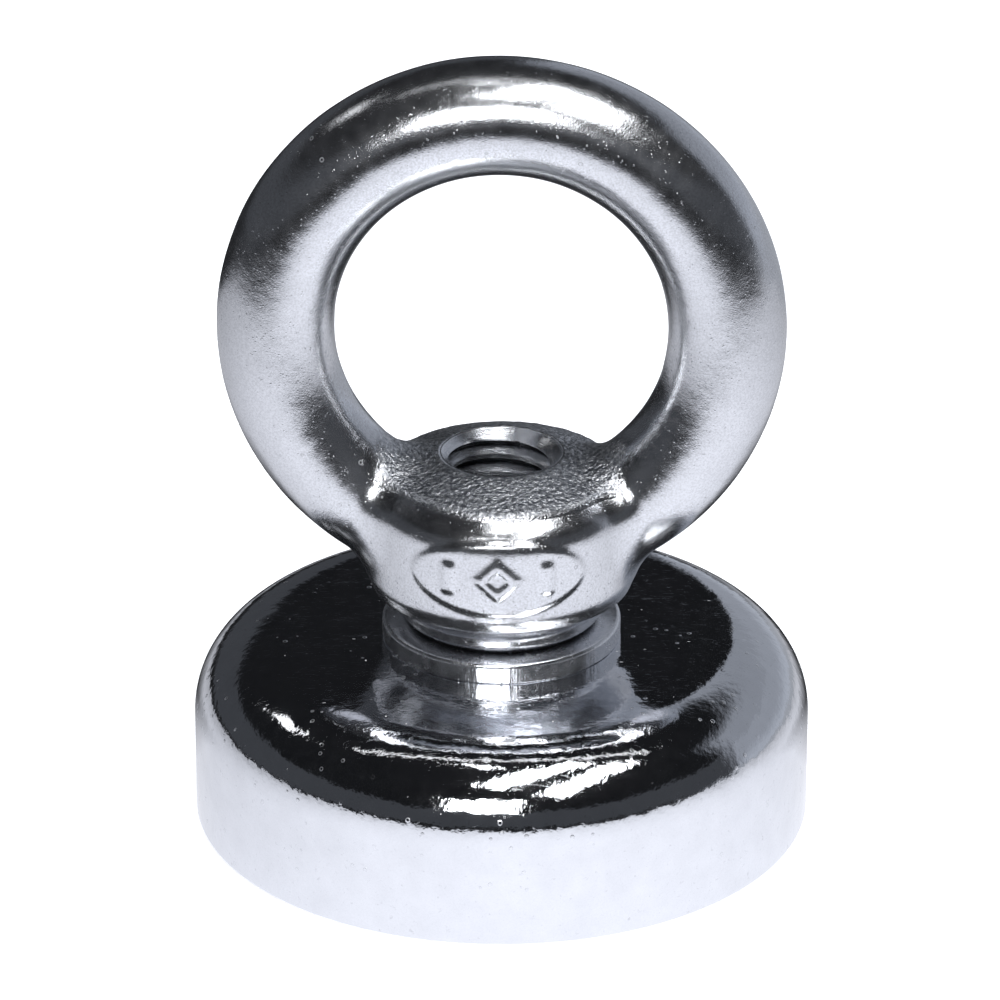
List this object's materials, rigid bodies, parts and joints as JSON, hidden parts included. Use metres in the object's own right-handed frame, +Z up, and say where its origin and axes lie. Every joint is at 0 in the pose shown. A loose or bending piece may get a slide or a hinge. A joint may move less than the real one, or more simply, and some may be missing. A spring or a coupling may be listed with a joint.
{
  "type": "fishing magnet",
  "caption": "Single-sided pot magnet in a plated steel cup with a lifting eye nut, pulled over the bottom of water on a rope to pick up iron.",
  "frame": {"origin": "centre of the pulling face, in the plane of the steel cup's rim", "axes": "+Z up the screw axis from the pulling face to the eye; +Y along the eye's opening; +X across the eye"},
  "size_m": [0.032, 0.032, 0.0415],
  "materials": {
    "cup_nickel": "bright nickel plate on turned steel",
    "magnet_nickel": "satin nickel plate on sintered magnet",
    "glue": "cured epoxy",
    "potting": "black potting resin",
    "screw_zinc": "bright zinc plate",
    "washer_nickel": "bright nickel plate on punched steel",
    "eye_nickel": "bright nickel plate over a grainy casting"
  },
  "bodies": {
    "magnet_base": {"pot_cup": "cup_nickel", "ring_magnet": "magnet_nickel", "magnet_glue_film": "glue", "potting_ring": "potting", "countersunk_screw": "screw_zinc"},
    "washer": {"plain_washer": "washer_nickel"},
    "eye": {"eye_nut": "eye_nickel"}
  },
  "joints": [
    {"name": "nut_turn", "type": "hinge", "parent": "magnet_base", "child": "washer", "pos_m": [0, 0, 0.0098], "axis": [0, 0, 1], "range_deg": [0, 2160]},
    {"name": "nut_lift", "type": "slide", "parent": "washer", "child": "eye", "axis": [0, 0, 1], "range_m": [0, 0.006]}
  ],
  "couplings": [
    {"joint": "nut_turn", "follows": "nut_lift", "rad_per_m": 6283.2}
  ]
}
